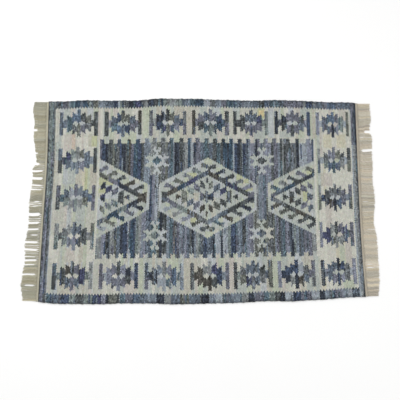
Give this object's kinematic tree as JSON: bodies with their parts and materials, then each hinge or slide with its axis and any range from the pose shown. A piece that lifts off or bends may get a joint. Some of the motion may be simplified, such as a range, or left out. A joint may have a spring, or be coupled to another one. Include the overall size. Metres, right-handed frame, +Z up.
{
  "type": "rag rug",
  "caption": "Flat-woven rectangular rug of rag weft with a plain heading and a cotton warp fringe at each end.",
  "frame": {"origin": "under the middle of the rug with its fringes, on the floor that it lies on", "axes": "+X along the warp from the left fringe to the right one, +Y across the rug to its back edge, +Z up"},
  "size_m": [1.9926, 1.257, 0.006],
  "materials": {
    "rag_weave": "matte weft-faced weave of torn denim and cotton rag in many blues, creams and a few tints",
    "cotton_heading": "matte plain-woven undyed cotton cord",
    "cotton_fringe": "matte twisted undyed cotton warp ends"
  },
  "bodies": {
    "root": {"cloth": "rag_weave", "heading_left": "cotton_heading", "heading_right": "cotton_heading", "fringe_left": "cotton_fringe", "fringe_right": "cotton_fringe"}
  },
  "joints": []
}
